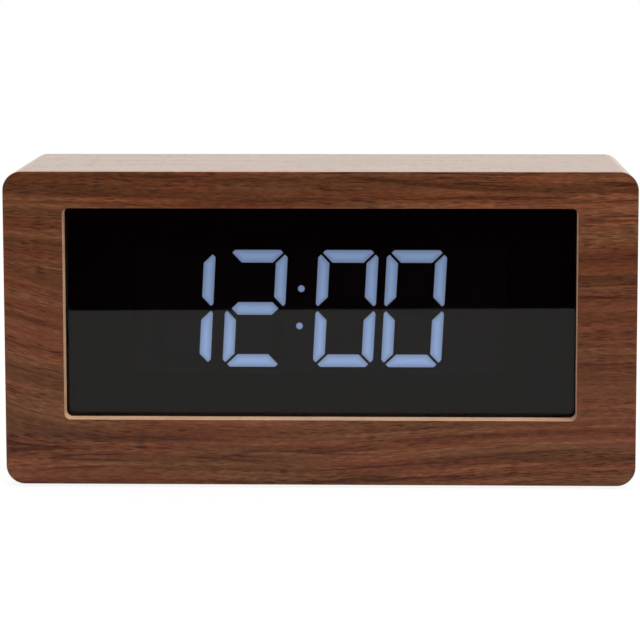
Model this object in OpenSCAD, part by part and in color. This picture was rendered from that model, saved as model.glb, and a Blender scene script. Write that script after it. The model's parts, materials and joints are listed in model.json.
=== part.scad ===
// Table clock: a veneered fibreboard box with a smoked window and a lit four-digit display.
// Frame: origin on the table under the middle of the case, +Z up, front face towards -Y.

/* [Case] */
// Width of the case
case_w = 200; // [170:1:260]
// Height of the case without its feet
case_h = 100; // [95:0.5:140]
// Depth of the case
case_d = 65; // [58:1:100]
// Radius of the four long corners
corner_r = 6; // [2:0.5:9]
// Thickness of the fibreboard
board_t = 6; // [5:0.5:8]
// Thickness of the veneer
veneer_t = 0.5; // [0.3:0.1:1]
// Diameter of a foot
foot_d = 10; // [6:1:16]
// Thickness of a foot
foot_h = 1; // [0.8:0.1:3]
// Distance of a foot's middle from the sides, front and back of the case
foot_inset = 14; // [10:1:24]
// Side of the glue blocks in the rear corners
block_w = 14; // [11:1:18]
// Length of the glue blocks
block_l = 18; // [14:1:24]
// Bevel on the inner edge of the glue blocks
block_bevel = 4; // [1:0.5:5]

/* [Window and lens] */
// Board left beside the window, inside each side wall
window_side = 12.25; // [11.5:0.25:30]
// Board left above the window, under the top wall
window_top = 5.1; // [5:0.05:12]
// Board left below the window, over the bottom wall
window_bottom = 14.3; // [6:0.05:20]
// Radius of the window's corners
window_r = 2; // [1:0.25:5]
// Thickness of the smoked lens
lens_t = 2; // [1.5:0.25:4]
// Overlap of the lens on the board round the window
lens_lip = 4.4; // [3:0.1:4.6]
// Radius of the lens's corners
lens_r = 3; // [1:0.5:6]
// Thickness of the adhesive tape between lens and board
tape_t = 0.2; // [0.1:0.05:0.5]
// Distance of the tape from the window's edge
tape_setback = 0.5; // [0.2:0.1:2]

/* [Display] */
// Height of a digit
digit_h = 37.7; // [28:0.1:42]
// Width of a digit
digit_w = 19.2; // [15:0.1:20]
// Height of a digit's level bars
bar_t = 4.1; // [3:0.1:5]
// Width of a digit's upright bars
post_t = 3.7; // [3:0.1:5]
// Gap between two bars where they meet at a corner
bar_gap = 0.75; // [0.3:0.05:1.5]
// Bevel across the outer corners of a digit
digit_bevel = 2.4; // [1:0.1:3]
// Bevel on the upright bars where they meet at mid height
waist_bevel = 1.5; // [0.5:0.1:2.5]
// Distance from a digit's side to the tip of its middle bar
waist_gap = 2.1; // [1:0.1:3]
// Lean of the digits in degrees
digit_lean = 3; // [0:0.5:8]
// Height of the digits' middle above the window's middle
digits_lift = 0.8; // [0:0.1:1]
// Space between the two hour digits
hours_space = 3.8; // [2.5:0.1:6]
// Space between the two minute digits
minutes_space = 2.6; // [2:0.1:6]
// Space between the hours and the minutes
colon_space = 9.7; // [6:0.1:12]
// Distance of the colon from the left end of the housing
colon_place = 52.6; // [51.5:0.1:58]
// Diameter of a colon dot
dot_d = 2.2; // [2:0.1:4]
// Distance between the two dots
dot_pitch = 12; // [8:0.5:18]
// Height of the colon's middle above the digits' middle
dot_lift = 0.4; // [0:0.1:2]
// Width of the display housing
housing_w = 118; // [114:1:126]
// Rim of the housing past the digits' height, at top and bottom
housing_rim = 1.5; // [1.5:0.5:5]
// Depth of the display housing
housing_d = 9; // [7:0.5:12]
// Depth of the light bars in the housing
bar_d = 3; // [1.5:0.5:5]
// Gap between the lens and the face of the housing
face_gap = 0.4; // [0.2:0.1:1]
// Diameter of the pegs that place the housing on its board
peg_d = 2.4; // [1.5:0.1:3]
// Distance of the pegs from the ends of the housing
peg_inset = 2.5; // [2:0.1:3]
// Side of a light-emitting chip
led_w = 1.6; // [1:0.1:1.8]
// Height of a light-emitting chip
led_h = 1; // [0.5:0.1:2]
// Distance between the two chips of one bar
led_pitch = 6.5; // [4:0.5:7]

/* [Display carrier] */
// Thickness of the carrier's plate
carrier_t = 2; // [1.5:0.25:3]
// Clearance of the carrier inside the case
carrier_room = 0.5; // [0.3:0.1:1]
// Diameter of the bosses that stand the carrier on the front board
carrier_boss_d = 6; // [5:0.5:6.5]
// Distance between the screws up each side of the carrier
carrier_screw_pitch = 28; // [20:1:30]
// Clearance of the display housing in the carrier
housing_room = 0.3; // [0.2:0.1:0.6]
// Height of the collar round the display housing
collar_h = 2.5; // [1:0.5:4]
// Thickness of that collar
collar_t = 1.5; // [1:0.25:2]
// Diameter of the pillars for the display board
pillar_d = 6; // [5:0.5:7]

/* [Circuit boards] */
// Thickness of the circuit boards
pcb_t = 1.6; // [1:0.2:2]
// Length of the display board past each end of the housing
display_board_side = 9; // [8:0.5:12]
// Height of the display board past the top and the bottom of the housing
display_board_rim = 6; // [6:0.5:8]
// Width of the main board
main_board_w = 130; // [128:1:134]
// Height of the main board
main_board_h = 56; // [55:1:58]
// Distance of the main board's screws from its edges
main_screw_inset = 4; // [3.5:0.5:5]
// Diameter of the bosses under the main board
main_boss_d = 6; // [5:0.5:7]
// Length of the cable headers
header_l = 20; // [18:1:26]
// Width of the cable headers
header_w = 5; // [4:0.5:7]
// Height of the cable headers
header_h = 6; // [4:0.5:8]
// Width of the ribbon cable
ribbon_w = 16; // [8:1:17]
// Thickness of the ribbon cable
ribbon_t = 0.9; // [0.5:0.1:1.2]
// Sag of the ribbon cable
ribbon_sag = 8; // [2:1:12]
// Depth of the display header below the window's middle
display_header_drop = 12; // [8:1:14]
// Height of the main header above the middle of the case
main_header_lift = 6; // [2:1:10]
// Distance between two legs of a chip
leg_pitch = 1.27; // [1:0.01:1.27]
// Length of a chip's legs past its body
leg_l = 1; // [0.6:0.1:1.4]
// Place of the display driver across its board
driver_x = -34; // [-40:1:-26]
// Length of the display driver
driver_l = 10; // [9.8:0.1:12]
// Width of the display driver
driver_w = 5.4; // [4:0.1:7]
// Place of the controller across the main board
controller_x = -30; // [-34:1:-24]
// Length of the controller
controller_l = 18; // [17.4:0.1:20]
// Width of the controller
controller_w = 7.5; // [5:0.1:9]
// Height of both chips
chip_h = 2.2; // [1.2:0.1:3]
// Place of the quartz crystal across the main board
crystal_x = 32; // [24:1:50]
// Length of the crystal's can
crystal_l = 11; // [8:0.5:12]
// Width of the crystal's can
crystal_w = 4.6; // [3:0.1:5]
// Height of the crystal's can
crystal_h = 3.6; // [2:0.1:6]
// Place of the capacitors across the main board
capacitor_x = -52; // [-56:1:-48]
// Distance between the two capacitors
capacitor_pitch = 9; // [7:0.5:14]
// Depth of the sounder below the middle of the case
sounder_drop = 8; // [6:0.5:12]
// Diameter of the sounder's hole
sounder_hole_d = 2; // [1:0.5:4]
// Diameter of the sounder
sounder_d = 12; // [9:0.5:14]
// Height of the sounder
sounder_h = 5; // [3:0.5:5.5]
// Diameter of a capacitor
capacitor_d = 5; // [4:0.5:6.5]
// Height of a capacitor
capacitor_h = 7; // [5:0.5:11]

/* [Screws] */
// Diameter of the wood screws in the front board
carrier_screw_d = 2.6; // [2.2:0.1:3]
// Depth of those screws in the board
carrier_bite = 3.4; // [2.5:0.1:3.6]
// Diameter of the circuit board screws
board_screw_d = 2.2; // [1.8:0.1:2.6]
// Depth of the circuit board screws in their bosses
board_bite = 4.5; // [3:0.5:5]
// Diameter of the cover screws
cover_screw_d = 3; // [2.5:0.1:3.5]
// Depth of the cover screws in the glue blocks
cover_bite = 10; // [6:1:12]
// Clearance of a screw in the piece that it holds
screw_room = 0.2; // [0.1:0.05:0.4]
// Clearance of a screw in its pilot hole
pilot_room = 0.05; // [0.02:0.01:0.1]
// Depth of a pilot hole past the screw's tip
pilot_spare = 0.6; // [0.4:0.1:1]

/* [Back cover] */
// Thickness of the cover
cover_t = 2; // [1.8:0.1:3]
// Depth of the cover inside the rear edge of the case
cover_recess = 1.6; // [1.2:0.1:4]
// Width of the step in the case walls that the cover lies on
rebate_w = 3; // [2:0.25:3.5]
// Radius of the corners of that step
rebate_r = 3; // [2:0.5:5]
// Clearance round the cover
cover_room = 0.2; // [0.1:0.05:0.5]
// Thickness of the cover under a screw's head
cover_seat = 1; // [0.8:0.1:1.4]
// Clearance round a screw's head
head_room = 0.4; // [0.2:0.1:0.8]
// Depth of the ribs along the cover's edges
rib_h = 5; // [2:0.5:8]
// Thickness of those ribs
rib_t = 1.5; // [1:0.25:2.5]
// Clearance between the ribs and the case
rib_room = 0.3; // [0.2:0.1:1]
// Length of a sound slot
slot_l = 10; // [6:0.5:11]
// Width of a sound slot
slot_w = 1.4; // [1:0.1:1.6]
// Distance between two sound slots
slot_pitch = 2.6; // [2.4:0.1:3]
// Number of sound slots
slot_count = 5; // [3:2:5]

/* [Buttons] */
// Length of a button
button_l = 12; // [8:0.5:13]
// Width of a button
button_w = 6; // [5:0.5:8]
// Distance between two buttons
button_pitch = 18; // [17:0.5:19]
// Height of the row of controls above the middle of the cover
controls_z = 18; // [17:0.5:19]
// Height of a button out of the cover
button_proud = 0.9; // [0.6:0.1:1]
// Travel of a button
button_travel = 0.5; // [0.3:0.05:0.6]
// Clearance of a button in its hole
button_room = 0.25; // [0.2:0.05:0.4]
// Bevel round the top of a button
button_bevel = 0.5; // [0.2:0.1:0.8]
// Width of the flange that keeps a button in
flange_w = 1; // [0.8:0.1:1.2]
// Thickness of that flange
flange_t = 1; // [0.8:0.1:1.4]
// Gap between the flange and the cover
flange_gap = 0.1; // [0.05:0.05:0.3]
// Length of the post under a button
button_post = 0.4; // [0.2:0.1:1]
// Side of a push switch
tact_w = 6; // [5:0.5:7]
// Height of a push switch
tact_h = 3.5; // [3:0.1:4.5]
// Diameter of a push switch's stem
stem_d = 3.4; // [2.5:0.1:3.8]
// Height of the stem out of its switch
stem_out = 1; // [0.8:0.1:1.5]
// Length of the stem in its switch
stem_in = 0.9; // [0.6:0.1:1.2]
// Clearance round the stem
stem_room = 0.08; // [0.05:0.01:0.1]
// Space left under a pressed stem
stem_spare = 0.3; // [0.2:0.1:0.6]

/* [Alarm slider] */
// Place of the slider across the cover
slider_x = 50; // [48:0.5:51]
// Travel of the slider
slider_travel = 2; // [1.5:0.1:2.5]
// Length of the slider's thumb piece
thumb_l = 6; // [5:0.5:7]
// Width of the thumb piece
thumb_w = 3.4; // [3:0.1:4]
// Height of the thumb piece out of the cover
thumb_proud = 1; // [0.6:0.1:1.1]
// Clearance of the thumb piece in its slot
thumb_room = 0.3; // [0.2:0.05:0.5]
// Depth of the grip grooves
groove_d = 0.4; // [0.2:0.1:0.6]
// Width of the grip grooves
groove_w = 0.6; // [0.3:0.1:0.8]
// Distance between two grip grooves
groove_pitch = 1.4; // [1.2:0.1:1.6]
// Length of the slider's neck
neck_l = 3.6; // [2.5:0.1:4]
// Width of the slider's neck
neck_w = 2; // [1.5:0.1:2.5]
// Thickness of the slider's foot
slider_foot_t = 1; // [0.6:0.1:1.5]
// Overhang of the foot past the neck
slider_foot_w = 0.6; // [0.4:0.1:0.8]
// Height of the switch case
switch_h = 4.4; // [4:0.1:4.8]
// Wall of the switch case
switch_wall = 0.5; // [0.3:0.1:0.8]
// Clearance inside the switch case
switch_room = 0.25; // [0.2:0.05:0.4]

/* [Power inlet] */
// Place of the inlet across the cover
jack_x = -48; // [-52:0.5:-44]
// Place of the inlet above the middle of the cover
jack_z = -14; // [-16:0.5:-8]
// Side of the inlet's body
jack_w = 10; // [9.5:0.5:12]
// Diameter of the inlet's nose
jack_nose_d = 8.4; // [8:0.1:9]
// Diameter of the plug that the inlet takes
plug_d = 5.5; // [5:0.1:6]
// Clearance of the plug
plug_room = 0.1; // [0.05:0.05:0.2]
// Diameter of the inlet's pin
jack_pin_d = 2; // [1.5:0.1:2.5]
// Depth of the pin's tip inside the nose
jack_pin_setback = 1; // [0.5:0.1:2]
// Thickness of the inlet's floor
jack_floor = 1.2; // [1:0.1:2]
// Clearance between the inlet and the cover
jack_room = 0.2; // [0.1:0.05:0.4]

/* [Backup cell] */
// Place of the cell across the cover
cell_x = 40; // [38:0.5:42]
// Place of the cell above the middle of the cover
cell_z = -8; // [-9:0.5:-7]
// Diameter of the cell
cell_d = 20; // [16:1:21]
// Thickness of the cell
cell_t = 3.2; // [2.5:0.1:3.4]
// Thickness of the holder's floor
holder_floor = 1; // [0.8:0.1:1.2]
// Height of the holder
holder_h = 3.6; // [3:0.1:3.7]
// Wall of the holder
holder_wall = 1.6; // [1:0.1:2]
// Thickness of the contacts
contact_t = 0.3; // [0.2:0.05:0.4]
// Width of the contacts
contact_w = 5; // [3:0.5:6]
// Clearance round the cell
cell_room = 0.3; // [0.2:0.05:0.5]
// Thickness of the cap's disc
cap_t = 1.2; // [1:0.1:1.4]
// Thickness of the cap's sleeve
cap_wall = 1.2; // [1:0.1:1.5]
// Reach of the cap's lugs past its sleeve
lug_reach = 1.7; // [1.5:0.1:2.2]
// Thickness of the lugs
lug_t = 0.9; // [0.7:0.1:1]
// Angle that a lug covers
lug_angle = 36; // [26:2:38]
// Angle that the cap turns to unlock
cap_turn = 45; // [42:1:50]
// Angle left at each end of a lug
lug_spare = 2; // [1:0.5:3]
// Clearance round the cap
cap_room = 0.2; // [0.15:0.05:0.3]
// Thickness of the lip over the lugs
lip_t = 1.2; // [1:0.1:1.5]
// Overlap of the cap's disc on the lip, past the lugs
disc_lap = 0.8; // [0.5:0.1:1.2]
// Wall round the lugs
mouth_wall = 1.5; // [1:0.1:2]
// Width of the coin slot
coin_slot_w = 1.8; // [1.4:0.1:2.4]
// Length of the coin slot
coin_slot_l = 16; // [10:0.5:18]
// Depth of the coin slot
coin_slot_d = 0.8; // [0.5:0.1:0.9]
// Diameter of the pad under the cap that holds the cell down
cap_pad_d = 12; // [8:0.5:14]

/* [Hidden] */
$fn = 64;
both = [-1, 1];
// Overshoot of a cut past the face that it opens
over = 1;

// Case: outer skin, fibreboard core and cavity
wall_t = board_t + veneer_t;
core_w = case_w - 2 * veneer_t;
core_h = case_h - 2 * veneer_t;
core_r = corner_r - veneer_t;
inner_w = case_w - 2 * wall_t;
inner_h = case_h - 2 * wall_t;
z_bottom = foot_h;
z_mid = z_bottom + case_h / 2;
block_x = inner_w / 2 - block_w / 2;
block_z = inner_h / 2 - block_w / 2;

// Window and lens
window_w = inner_w - 2 * window_side;
window_h = inner_h - window_top - window_bottom;
z_window = z_bottom + wall_t + window_bottom + window_h / 2;
lens_w = window_w + 2 * lens_lip;
lens_h = window_h + 2 * lens_lip;

// Places along the depth, from the front backwards
y_front = -case_d / 2;
y_core = y_front + veneer_t;
y_board = y_core + board_t;
y_tape = y_board + tape_t;
y_lens = y_tape + lens_t;
y_carrier = y_lens + carrier_t;
y_face = y_lens + face_gap;
y_housing = y_face + housing_d;
y_display_board = y_housing + pcb_t;

// Places along the depth, from the back forwards
y_rear = case_d / 2;
y_cover = y_rear - cover_recess;
y_cover_in = y_cover - cover_t;
y_flange = y_cover_in - flange_gap;
standoff = flange_gap + flange_t + button_post + stem_out + tact_h;
y_main = y_cover_in - standoff;
y_main_in = y_main - pcb_t;

// Display: digit outlines, places and housing
half_w = digit_w / 2;
half_h = digit_h / 2;
mitre = bar_gap / sqrt(2);
colon_x = colon_place - housing_w / 2;
z_digits = z_window + digits_lift;
hours_units_x = colon_x - colon_space / 2 - half_w;
hours_tens_x = hours_units_x - digit_w - hours_space;
minutes_tens_x = colon_x + colon_space / 2 + half_w;
minutes_units_x = minutes_tens_x + digit_w + minutes_space;
digit_places = [hours_tens_x, hours_units_x, minutes_tens_x, minutes_units_x];
housing_h = digit_h + 2 * housing_rim;
display_board_w = housing_w + 2 * display_board_side;
display_board_h = housing_h + 2 * display_board_rim;
pillar_x = housing_w / 2 + display_board_side / 2;
pillar_z = housing_h / 2 + display_board_rim / 2;
peg_x = housing_w / 2 - peg_inset;
carrier_w = inner_w - 2 * carrier_room;
carrier_screw_x = carrier_w / 2 - carrier_boss_d / 2;

// Main board and its fittings
main_screw_x = main_board_w / 2 - main_screw_inset;
main_screw_z = main_board_h / 2 - main_screw_inset;
display_header_z = z_window - display_header_drop;
main_header_z = z_mid + main_header_lift;
driver_legs = 8;
controller_legs = 14;
sounder_z = z_mid - sounder_drop;

// Controls
z_controls = z_mid + controls_z;
first_button_x = -1.5 * button_pitch;
y_stem = y_main + tact_h + stem_out;
stem_well = stem_in + button_travel + stem_spare;
slider_slot_l = thumb_l + slider_travel + 2 * thumb_room;
slider_slot_w = thumb_w + 2 * thumb_room;
y_switch = y_main + switch_h;
switch_slot_l = neck_l + slider_travel + 2 * switch_room;
switch_slot_w = neck_w + 2 * switch_room;
switch_cavity_l = switch_slot_l + 2 * slider_foot_w + 2 * switch_room;
switch_cavity_w = switch_slot_w + 2 * slider_foot_w;
y_slider_foot = y_switch - switch_wall - switch_room - slider_foot_t;

// Power inlet
y_jack_body = y_cover_in - jack_room;
y_jack_nose = y_cover - jack_room;
jack_bore_d = plug_d + 2 * plug_room;

// Backup cell and its bayonet cap
cell_r = cell_d / 2;
y_cell = y_main + holder_floor + contact_t;
y_cell_top = y_cell + cell_t;
sleeve_inner_r = cell_r + cell_room;
sleeve_r = sleeve_inner_r + cap_wall;
throat_r = sleeve_r + cap_room;
lug_r = sleeve_r + lug_reach;
mouth_r = lug_r + cap_room;
collar_r = mouth_r + mouth_wall;
disc_r = lug_r + disc_lap;
holder_bore_r = cell_r + cell_room;
holder_r = holder_bore_r + holder_wall;
y_disc = y_cover - cap_t;
y_lip = y_disc - cap_room / 2;
y_lip_in = y_lip - lip_t;
y_lug_top = y_lip_in - cap_room;
y_lug = y_lug_top - lug_t;
y_collar = y_lug - cap_room;

// Standard pan heads follow the screw's diameter
function head_d(d) = 1.9 * d;
function head_h(d) = 0.65 * d;

// Solid between two depths from an outline drawn across and up
module along_y(y0, y1) {
    translate([0, y1, 0]) rotate([90, 0, 0]) linear_extrude(y1 - y0) children();
}

// Turned solid whose own +Z becomes +Y
module turned(x, z) {
    translate([x, 0, z]) rotate([-90, 0, 0]) children();
}

module rounded(w, h, r) {
    square([w - 2 * r, h], center = true);
    square([w, h - 2 * r], center = true);
    for (sx = both, sz = both) translate([sx * (w / 2 - r), sz * (h / 2 - r)]) circle(r);
}

module pill(l, w) {
    square([l - w, w], center = true);
    for (s = both) translate([s * (l - w) / 2, 0]) circle(d = w);
}

module at_corners(x, z) {
    for (sx = both, sz = both) translate([sx * x, sz * z]) children();
}

// Part of a ring between two radii, two heights and two angles
module ring_part(r0, r1, h0, h1, a0, a1) {
    rotate([0, 0, a0]) rotate_extrude(angle = a1 - a0) translate([r0, h0]) square([r1 - r0, h1 - h0]);
}

// Pan-head screw with a cross recess, head towards +Y, seated at y = 0
module screw(d, length) {
    big = head_d(d) / 2;
    tall = head_h(d);
    turned(0, 0) difference() {
        rotate_extrude() polygon([
            [0, -length], [d / 2, d - length], [d / 2, 0],
            [big, 0], [big, tall * 0.45], [big * 0.7, tall], [0, tall]
        ]);
        for (a = [0, 90]) rotate([0, 0, a]) translate([0, 0, tall])
            cube([big * 1.1, d * 0.28, tall], center = true);
    }
}

// Small moulded package with two rows of legs, standing on the plane y = foot
module chip(foot, top, l, w, legs) {
    middle = (foot + top) / 2;
    along_y(min(foot, top), max(foot, top)) square([l, w], center = true);
    along_y(min(foot, middle), max(foot, middle))
        for (i = [0 : legs - 1]) translate([(i - (legs - 1) / 2) * leg_pitch, 0])
            square([leg_pitch * 0.35, w + 2 * leg_l], center = true);
}

// Case
module case_shell() {
    color("tan") difference() {
        along_y(y_board, y_rear) translate([0, z_mid]) difference() {
            rounded(core_w, core_h, core_r);
            square([inner_w, inner_h], center = true);
        }
        along_y(y_cover_in, y_rear + over) translate([0, z_mid])
            rounded(inner_w + 2 * rebate_w, inner_h + 2 * rebate_w, rebate_r);
    }
}

module window_outline(grow) {
    translate([0, z_window]) rounded(window_w + 2 * grow, window_h + 2 * grow, window_r + grow);
}

module carrier_screw_places() {
    for (sx = both, i = [-1 : 1])
        translate([sx * carrier_screw_x, z_window + i * carrier_screw_pitch]) children();
}

module front_board() {
    color("tan") difference() {
        along_y(y_core, y_board) difference() {
            translate([0, z_mid]) rounded(core_w, core_h, core_r);
            window_outline(0);
        }
        along_y(y_board - carrier_bite - pilot_spare, y_board + over)
            carrier_screw_places() circle(d = carrier_screw_d + 2 * pilot_room);
    }
}

module case_veneer() {
    color("saddlebrown") along_y(y_core, y_rear) translate([0, z_mid]) difference() {
        rounded(case_w, case_h, corner_r);
        rounded(core_w, core_h, core_r);
    }
}

module front_veneer() {
    color("saddlebrown") along_y(y_front, y_core) difference() {
        translate([0, z_mid]) rounded(case_w, case_h, corner_r);
        window_outline(0);
    }
}

module corner_blocks() {
    color("burlywood") for (sx = both, sz = both) {
        difference() {
            along_y(y_cover_in - block_l, y_cover_in)
                translate([sx * block_x, z_mid + sz * block_z]) polygon([
                    [sx * block_w / 2, sz * block_w / 2],
                    [-sx * block_w / 2, sz * block_w / 2],
                    [-sx * block_w / 2, sz * (block_bevel - block_w / 2)],
                    [sx * (block_bevel - block_w / 2), -sz * block_w / 2],
                    [sx * block_w / 2, -sz * block_w / 2]
                ]);
            along_y(y_cover_in - cover_bite - pilot_spare, y_cover_in + over)
                translate([sx * block_x, z_mid + sz * block_z])
                    circle(d = cover_screw_d + 2 * pilot_room);
        }
    }
}

module feet() {
    color("dimgray") for (sx = both, sy = both)
        translate([sx * (case_w / 2 - foot_inset), sy * (case_d / 2 - foot_inset), 0])
            cylinder(d = foot_d, h = foot_h);
}

// Window and display
module display_lens() {
    color([0.1, 0.1, 0.1, 0.6]) along_y(y_tape, y_lens)
        translate([0, z_window]) rounded(lens_w, lens_h, lens_r);
}

module lens_tape() {
    color("black") along_y(y_board, y_tape) difference() {
        translate([0, z_window]) rounded(lens_w, lens_h, lens_r);
        window_outline(tape_setback);
    }
}

module display_carrier() {
    aperture_w = housing_w + 2 * housing_room;
    aperture_h = housing_h + 2 * housing_room;
    color("gray") difference() {
        union() {
            along_y(y_lens, y_carrier) translate([0, z_window]) rounded(carrier_w, lens_h, lens_r);
            along_y(y_board, y_lens) carrier_screw_places() circle(d = carrier_boss_d);
            along_y(y_carrier, y_carrier + collar_h) translate([0, z_window])
                square([aperture_w + 2 * collar_t, aperture_h + 2 * collar_t], center = true);
            along_y(y_carrier, y_housing) translate([0, z_window])
                at_corners(pillar_x, pillar_z) circle(d = pillar_d);
        }
        along_y(y_lens - over, y_housing + over) translate([0, z_window])
            square([aperture_w, aperture_h], center = true);
        along_y(y_board - over, y_carrier + over)
            carrier_screw_places() circle(d = carrier_screw_d + 2 * screw_room);
        along_y(y_housing - board_bite - pilot_spare, y_housing + over) translate([0, z_window])
            at_corners(pillar_x, pillar_z) circle(d = board_screw_d + 2 * pilot_room);
    }
}

module carrier_screws() {
    color("silver") for (sx = both, i = [-1 : 1])
        translate([sx * carrier_screw_x, y_carrier, z_window + i * carrier_screw_pitch])
            screw(carrier_screw_d, y_carrier - y_board + carrier_bite);
}

// Corners of a digit's bars before it leans: top bar, upper right bar and middle bar
top_bar = [
    [half_w - digit_bevel, half_h],
    [half_w - (digit_bevel + mitre) / 2, half_h - (digit_bevel - mitre) / 2],
    [half_w - bar_t - mitre, half_h - bar_t],
    [bar_t + mitre - half_w, half_h - bar_t],
    [(digit_bevel + mitre) / 2 - half_w, half_h - (digit_bevel - mitre) / 2],
    [digit_bevel - half_w, half_h]
];
upper_post = [
    [half_w - (digit_bevel - mitre) / 2, half_h - (digit_bevel + mitre) / 2],
    [half_w, half_h - digit_bevel],
    [half_w, waist_bevel],
    [half_w - waist_bevel / 2, waist_bevel / 2],
    [half_w - post_t, post_t],
    [half_w - post_t, half_h - post_t - mitre]
];
middle_tip = half_w - waist_gap;
middle_bar = [
    [middle_tip, 0],
    [middle_tip - bar_t / 2, bar_t / 2],
    [bar_t / 2 - middle_tip, bar_t / 2],
    [-middle_tip, 0],
    [bar_t / 2 - middle_tip, -bar_t / 2],
    [middle_tip - bar_t / 2, -bar_t / 2]
];

function lean(p) = [p[0] + p[1] * tan(digit_lean), p[1]];

module bar(points, sx, sz) {
    polygon([for (p = points) lean([sx * p[0], sz * p[1]])]);
}

module digit_outline(x) {
    translate([x, z_digits]) {
        for (sz = both) bar(top_bar, 1, sz);
        bar(middle_bar, 1, 1);
        for (sx = both, sz = both) bar(upper_post, sx, sz);
    }
}

dot_places = [for (s = both) [colon_x, z_digits] + lean([0, dot_lift + s * dot_pitch / 2])];

module dot_outlines() {
    for (p = dot_places) translate(p) circle(d = dot_d);
}

module display_housing() {
    color([0.06, 0.06, 0.06]) {
        along_y(y_face, y_housing) difference() {
            translate([0, z_window]) square([housing_w, housing_h], center = true);
            for (x = digit_places) digit_outline(x);
            dot_outlines();
        }
        along_y(y_housing, y_display_board) for (s = both)
            translate([s * peg_x, z_window]) circle(d = peg_d);
    }
}

module light_bars(x) {
    color("aliceblue") along_y(y_face, y_face + bar_d) digit_outline(x);
}

module hours_tens_bars() {
    light_bars(hours_tens_x);
}

module hours_units_bars() {
    light_bars(hours_units_x);
}

module minutes_tens_bars() {
    light_bars(minutes_tens_x);
}

module minutes_units_bars() {
    light_bars(minutes_units_x);
}

module colon_dots() {
    color("aliceblue") along_y(y_face, y_face + bar_d) dot_outlines();
}

module display_board() {
    color("darkgreen") along_y(y_housing, y_display_board) translate([0, z_window]) difference() {
        square([display_board_w, display_board_h], center = true);
        at_corners(pillar_x, pillar_z) circle(d = board_screw_d + 2 * screw_room);
        for (s = both) translate([s * peg_x, 0]) circle(d = peg_d + 2 * pilot_room);
    }
}

// Two chips behind each bar of a digit, one behind each dot
led_places = concat(
    [for (s = both, v = [-1 : 1]) [s * led_pitch / 2, v * (half_h - bar_t / 2)]],
    [for (sx = both, sz = both, s = both)
        [sx * (half_w - post_t / 2), sz * half_h / 2 + s * led_pitch / 2]]
);

module display_leds() {
    color("lightyellow") along_y(y_housing - led_h, y_housing) {
        for (x = digit_places, p = led_places)
            translate([x, z_digits] + lean(p)) square(led_w, center = true);
        for (p = dot_places) translate(p) square(min(led_w, dot_d / 2), center = true);
    }
}

module display_board_screws() {
    color("silver") for (sx = both, sz = both)
        translate([sx * pillar_x, y_display_board, z_window + sz * pillar_z])
            screw(board_screw_d, pcb_t + board_bite);
}

module driver_chip() {
    color("black") translate([driver_x, 0, display_header_z])
        chip(y_display_board, y_display_board + chip_h, driver_l, driver_w, driver_legs);
}

// Cable between the two boards
module header(y0, y1, z) {
    color("ivory") along_y(y0, y1) translate([0, z]) square([header_l, header_w], center = true);
}

module display_header() {
    header(y_display_board, y_display_board + header_h, display_header_z);
}

module main_header() {
    header(y_main_in - header_h, y_main_in, main_header_z);
}

ribbon_steps = 24;
ribbon_y0 = y_display_board + header_h;
ribbon_y1 = y_main_in - header_h;
function ribbon_at(t) = [
    ribbon_y0 + (ribbon_y1 - ribbon_y0) * t,
    display_header_z + (main_header_z - display_header_z) * (1 - cos(180 * t)) / 2
        - ribbon_sag * pow(sin(180 * t), 2)
];
function ribbon_slope(t) = atan2(
    PI * ((main_header_z - display_header_z) / 2 * sin(180 * t) - ribbon_sag * sin(360 * t)),
    ribbon_y1 - ribbon_y0
);
function ribbon_side(t, s) = ribbon_at(t)
    + s * ribbon_t / 2 * [-sin(ribbon_slope(t)), cos(ribbon_slope(t))];

module ribbon_cable() {
    color("lightgray") rotate([90, 0, 90]) linear_extrude(ribbon_w, center = true) polygon(concat(
        [for (i = [0 : ribbon_steps]) ribbon_side(i / ribbon_steps, 1)],
        [for (i = [ribbon_steps : -1 : 0]) ribbon_side(i / ribbon_steps, -1)]
    ));
}

// Main board and what stands on it
module main_board() {
    color("darkgreen") along_y(y_main_in, y_main) translate([0, z_mid]) difference() {
        square([main_board_w, main_board_h], center = true);
        at_corners(main_screw_x, main_screw_z) circle(d = board_screw_d + 2 * screw_room);
    }
}

module main_board_screws() {
    color("silver") for (sx = both, sz = both)
        translate([sx * main_screw_x, y_main_in, z_mid + sz * main_screw_z])
            rotate([0, 0, 180]) screw(board_screw_d, pcb_t + board_bite);
}

module controller_chip() {
    color("black") translate([controller_x, 0, main_header_z])
        chip(y_main_in, y_main_in - chip_h, controller_l, controller_w, controller_legs);
}

module crystal() {
    color("silver") along_y(y_main_in - crystal_h, y_main_in)
        translate([crystal_x, main_header_z]) pill(crystal_l, crystal_w);
}

module capacitors() {
    bead = capacitor_d / 12;
    r = capacitor_d / 2;
    color("navy") for (s = both) translate([0, y_main_in, 0])
        turned(capacitor_x, z_mid + s * capacitor_pitch / 2) rotate_extrude() polygon([
            [0, 0], [r, 0], [r, -2 * bead], [r - bead, -3 * bead], [r, -4 * bead],
            [r, bead - capacitor_h], [r - bead, -capacitor_h], [0, -capacitor_h]
        ]);
}

module sounder() {
    color("black") along_y(y_main, y_main + sounder_h) translate([0, sounder_z]) difference() {
        circle(d = sounder_d);
        circle(d = sounder_hole_d);
    }
}

function button_x(i) = first_button_x + i * button_pitch;

module tact_switches() {
    color([0.15, 0.15, 0.15]) for (i = [0 : 3]) difference() {
        along_y(y_main, y_main + tact_h) translate([button_x(i), z_controls])
            square(tact_w, center = true);
        along_y(y_main + tact_h - stem_well, y_main + tact_h + over)
            translate([button_x(i), z_controls]) circle(d = stem_d + 2 * stem_room);
    }
}

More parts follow.
